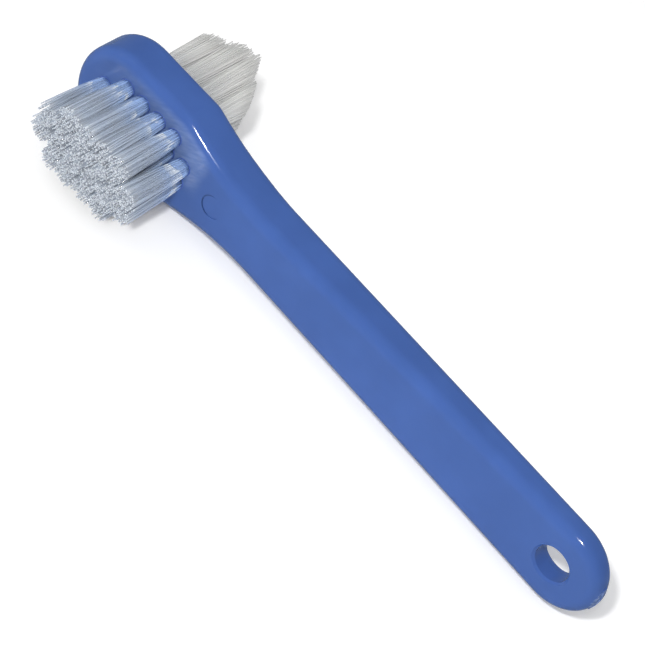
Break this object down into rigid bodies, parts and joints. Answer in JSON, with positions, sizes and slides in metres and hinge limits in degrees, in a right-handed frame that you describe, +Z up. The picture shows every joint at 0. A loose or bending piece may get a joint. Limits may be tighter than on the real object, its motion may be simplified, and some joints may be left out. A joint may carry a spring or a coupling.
{
  "type": "denture brush",
  "caption": "Two-sided denture brush: one-piece tapered handle with a hanging hole, flat-trimmed bristle tufts on the front of the head and ridge-trimmed tufts on its back.",
  "frame": {"origin": "middle of the bounding box in length and depth, at the lowest point of the brush as it lies on its narrow side", "axes": "+X from the head tip to the tail, -Y out of the front bristle face, +Y out of the back bristle face, +Z up across the breadth of the head"},
  "size_m": [0.1652, 0.0538, 0.0275],
  "materials": {
    "handle_plastic": "glossy blue injection-moulded polypropylene",
    "front_bristle": "clear translucent nylon filaments",
    "back_bristle": "milky white nylon filaments",
    "anchor_metal": "flat drawn anchor wire"
  },
  "bodies": {
    "root": {"handle": "handle_plastic", "front_anchors": "anchor_metal", "back_anchors": "anchor_metal", "front_tuft_a2": "front_bristle", "front_tuft_a3": "front_bristle", "front_tuft_a4": "front_bristle", "front_tuft_a5": "front_bristle", "front_tuft_b1": "front_bristle", "front_tuft_b2": "front_bristle", "front_tuft_b3": "front_bristle", "front_tuft_b4": "front_bristle", "front_tuft_b5": "front_bristle", "front_tuft_b6": "front_bristle", "front_tuft_c1": "front_bristle", "front_tuft_c2": "front_bristle", "front_tuft_c3": "front_bristle", "front_tuft_c4": "front_bristle", "front_tuft_c5": "front_bristle", "front_tuft_c6": "front_bristle", "front_tuft_d2": "front_bristle", "front_tuft_d3": "front_bristle", "front_tuft_d4": "front_bristle", "front_tuft_d5": "front_bristle", "back_tuft_a1": "back_bristle", "back_tuft_a2": "back_bristle", "back_tuft_a3": "back_bristle", "back_tuft_a4": "back_bristle", "back_tuft_b1": "back_bristle", "back_tuft_b2": "back_bristle", "back_tuft_b3": "back_bristle", "back_tuft_b4": "back_bristle", "back_tuft_c1": "back_bristle", "back_tuft_c2": "back_bristle", "back_tuft_c3": "back_bristle", "back_tuft_c4": "back_bristle"}
  },
  "joints": []
}
